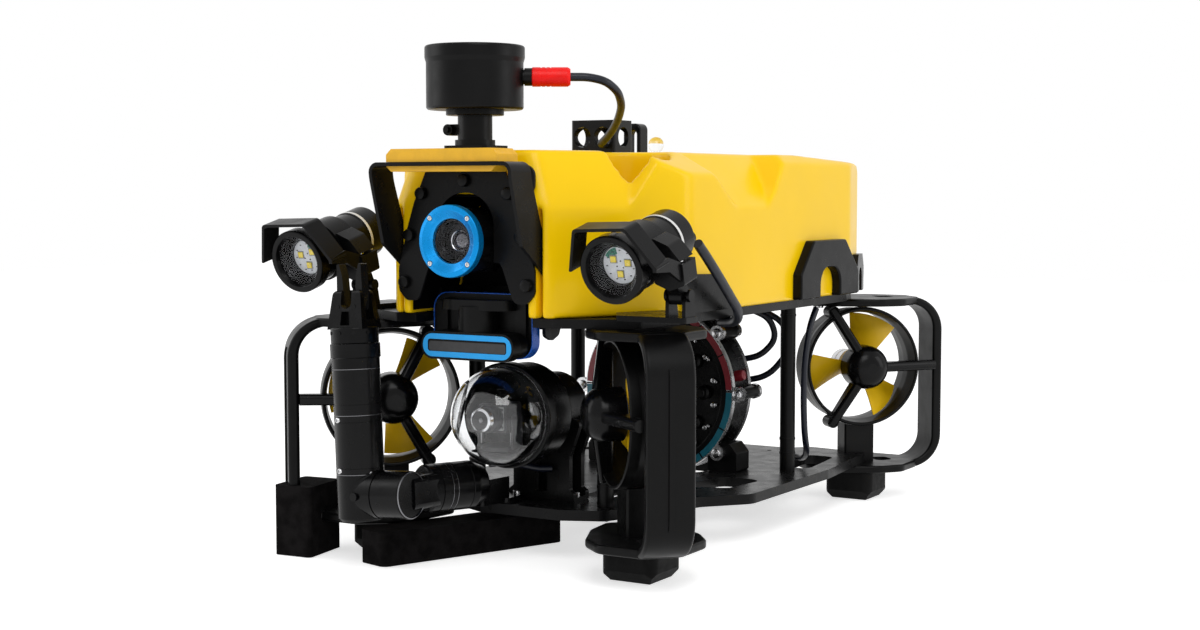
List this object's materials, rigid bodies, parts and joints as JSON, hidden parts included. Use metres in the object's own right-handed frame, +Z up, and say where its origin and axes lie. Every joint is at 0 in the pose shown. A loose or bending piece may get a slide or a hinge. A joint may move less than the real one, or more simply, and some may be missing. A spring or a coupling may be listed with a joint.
{
  "type": "underwater inspection rov",
  "caption": "Open-frame underwater inspection vehicle: foam float, corner thrusters in guards, zoom and dome cameras, sonars, lamps, pod and folded manipulator.",
  "frame": {"origin": "bottom centre of the whole box: the feet and the foam blocks stand on Z = 0", "axes": "+Z up, -Y towards the bow with the cameras and lamps, +X to port"},
  "size_m": [0.5354, 0.8553, 0.568],
  "materials": {
    "float_yellow": "gloss paint",
    "foam_bar": "satin foam",
    "black_plate": "satin black",
    "black_plastic": "satin black",
    "black_anodised": "black anodised",
    "foot_rubber": "matt",
    "floor_foam": "matt foam",
    "propeller_yellow": "gloss",
    "silver": "satin",
    "steel": "bright",
    "clear": "clear",
    "blue_anodised": "blue anodised",
    "red_plastic": "gloss",
    "cable": "satin",
    "camera_grey": "satin"
  },
  "bodies": {
    "frame": {"float_block": "float_yellow", "nose_foam_bar": "foam_bar", "side_arches": "black_plate", "deck_plate": "black_plate", "skid_plate": "black_plate", "thruster_spiders": "black_anodised", "thruster_motors": "black_anodised", "posts_and_saddles": "black_plastic", "rubber_feet": "foot_rubber", "pod_drum": "black_anodised", "pod_clamp_rings": "silver", "pod_supports": "black_plastic", "pod_connectors": "black_plastic", "dome_window": "clear", "dome_housing": "black_anodised", "dome_stand": "black_plate", "camera_plate": "black_plate", "fasteners": "steel", "front_bumper": "black_plate", "deck_brackets": "black_plate", "scanning_sonar": "black_plastic", "sonar_mast": "black_plastic", "plug_sleeve": "red_plastic", "sonar_cable": "cable", "lift_latch": "black_anodised", "lift_handle": "black_anodised", "strobe": "clear", "arm_base": "black_anodised", "arm_rest_blocks": "floor_foam", "loom_cables": "cable", "front_port_guard": "black_plastic", "front_port_nozzle": "black_plastic", "front_starboard_guard": "black_plastic", "front_starboard_nozzle": "black_plastic", "rear_port_guard": "black_plastic", "rear_port_nozzle": "black_plastic", "rear_starboard_guard": "black_plastic", "rear_starboard_nozzle": "black_plastic"},
    "front_port_propeller": {"front_port_propeller": "propeller_yellow"},
    "front_starboard_propeller": {"front_starboard_propeller": "propeller_yellow"},
    "rear_port_propeller": {"rear_port_propeller": "propeller_yellow"},
    "rear_starboard_propeller": {"rear_starboard_propeller": "propeller_yellow"},
    "front_port_lift_propeller": {"front_port_lift_propeller": "propeller_yellow"},
    "front_starboard_lift_propeller": {"front_starboard_lift_propeller": "propeller_yellow"},
    "rear_port_lift_propeller": {"rear_port_lift_propeller": "propeller_yellow"},
    "rear_starboard_lift_propeller": {"rear_starboard_lift_propeller": "propeller_yellow"},
    "port_lamp": {"port_lamp": "black_anodised", "port_lamp_hood": "black_plate"},
    "starboard_lamp": {"starboard_lamp": "black_anodised", "starboard_lamp_hood": "black_plate"},
    "zoom_camera": {"zoom_camera": "black_anodised", "zoom_camera_ring": "blue_anodised"},
    "imaging_sonar": {"imaging_sonar": "black_plastic"},
    "gimbal_yoke": {"gimbal_yoke": "camera_grey"},
    "gimbal_camera": {"gimbal_camera": "camera_grey"},
    "arm_shoulder": {"arm_shoulder": "black_anodised"},
    "arm_forearm": {"arm_forearm": "black_anodised"},
    "arm_wrist": {"arm_wrist": "black_anodised"},
    "arm_jaw_inboard": {"arm_jaw_inboard": "black_anodised"},
    "arm_jaw_outboard": {"arm_jaw_outboard": "black_anodised"}
  },
  "joints": [
    {"name": "front_port_propeller_spin", "type": "hinge", "parent": "frame", "child": "front_port_propeller", "pos_m": [0.164, -0.2814, 0.178], "axis": [-0.7071, -0.7071, 0], "continuous": true},
    {"name": "front_starboard_propeller_spin", "type": "hinge", "parent": "frame", "child": "front_starboard_propeller", "pos_m": [-0.164, -0.2814, 0.178], "axis": [0.7071, -0.7071, 0], "continuous": true},
    {"name": "rear_port_propeller_spin", "type": "hinge", "parent": "frame", "child": "rear_port_propeller", "pos_m": [0.164, 0.3226, 0.178], "axis": [0.7071, -0.7071, 0], "continuous": true},
    {"name": "rear_starboard_propeller_spin", "type": "hinge", "parent": "frame", "child": "rear_starboard_propeller", "pos_m": [-0.164, 0.3226, 0.178], "axis": [-0.7071, -0.7071, 0], "continuous": true},
    {"name": "front_port_lift_propeller_spin", "type": "hinge", "parent": "frame", "child": "front_port_lift_propeller", "pos_m": [0.115, -0.2144, 0.352], "axis": [0, 0, 1], "continuous": true},
    {"name": "front_starboard_lift_propeller_spin", "type": "hinge", "parent": "frame", "child": "front_starboard_lift_propeller", "pos_m": [-0.115, -0.2144, 0.352], "axis": [0, 0, 1], "continuous": true},
    {"name": "rear_port_lift_propeller_spin", "type": "hinge", "parent": "frame", "child": "rear_port_lift_propeller", "pos_m": [0.115, 0.1506, 0.352], "axis": [0, 0, 1], "continuous": true},
    {"name": "rear_starboard_lift_propeller_spin", "type": "hinge", "parent": "frame", "child": "rear_starboard_lift_propeller", "pos_m": [-0.115, 0.1506, 0.352], "axis": [0, 0, 1], "continuous": true},
    {"name": "port_lamp_tilt", "type": "hinge", "parent": "frame", "child": "port_lamp", "pos_m": [0.2395, -0.3244, 0.308], "axis": [1, 0, 0], "range_deg": [-12, 10]},
    {"name": "starboard_lamp_tilt", "type": "hinge", "parent": "frame", "child": "starboard_lamp", "pos_m": [-0.1635, -0.3244, 0.308], "axis": [1, 0, 0], "range_deg": [-12, 10]},
    {"name": "zoom_camera_tilt", "type": "hinge", "parent": "frame", "child": "zoom_camera", "pos_m": [0, -0.3244, 0.361], "axis": [1, 0, 0], "range_deg": [-8, 12]},
    {"name": "imaging_sonar_tilt", "type": "hinge", "parent": "frame", "child": "imaging_sonar", "pos_m": [0, -0.2974, 0.268], "axis": [1, 0, 0], "range_deg": [-2, 12]},
    {"name": "dome_camera_pan", "type": "hinge", "parent": "frame", "child": "gimbal_yoke", "pos_m": [0, -0.2954, 0.165], "axis": [0, 0, 1], "range_deg": [-60, 60]},
    {"name": "dome_camera_tilt", "type": "hinge", "parent": "gimbal_yoke", "child": "gimbal_camera", "pos_m": [0, -0.2954, 0.165], "axis": [1, 0, 0], "range_deg": [-30, 30]},
    {"name": "arm_base_roll", "type": "hinge", "parent": "frame", "child": "arm_shoulder", "pos_m": [-0.046, -0.3014, 0.086], "axis": [0.4226, 0.9063, 0], "range_deg": [0, 6]},
    {"name": "arm_elbow", "type": "hinge", "parent": "arm_shoulder", "child": "arm_forearm", "pos_m": [-0.09998, -0.39941, 0.08548], "axis": [0.998, 0.0009, 0.0632], "range_deg": [0, 100]},
    {"name": "wrist_rotate", "type": "hinge", "parent": "arm_forearm", "child": "arm_wrist", "pos_m": [-0.12264, -0.39444, 0.2533], "axis": [-0.0632, 0.0295, 0.9976], "range_deg": [-90, 90]},
    {"name": "jaw_inboard_swing", "type": "hinge", "parent": "arm_wrist", "child": "arm_jaw_inboard", "pos_m": [-0.11388, -0.39339, 0.28891], "axis": [0.0009, 0.9996, -0.0295], "range_deg": [-8, 25]},
    {"name": "jaw_outboard_swing", "type": "hinge", "parent": "arm_wrist", "child": "arm_jaw_outboard", "pos_m": [-0.13583, -0.39342, 0.28752], "axis": [0.0009, 0.9996, -0.0295], "range_deg": [-25, 8]}
  ],
  "couplings": [
    {"joint": "jaw_outboard_swing", "follows": "jaw_inboard_swing", "ratio": -1}
  ]
}
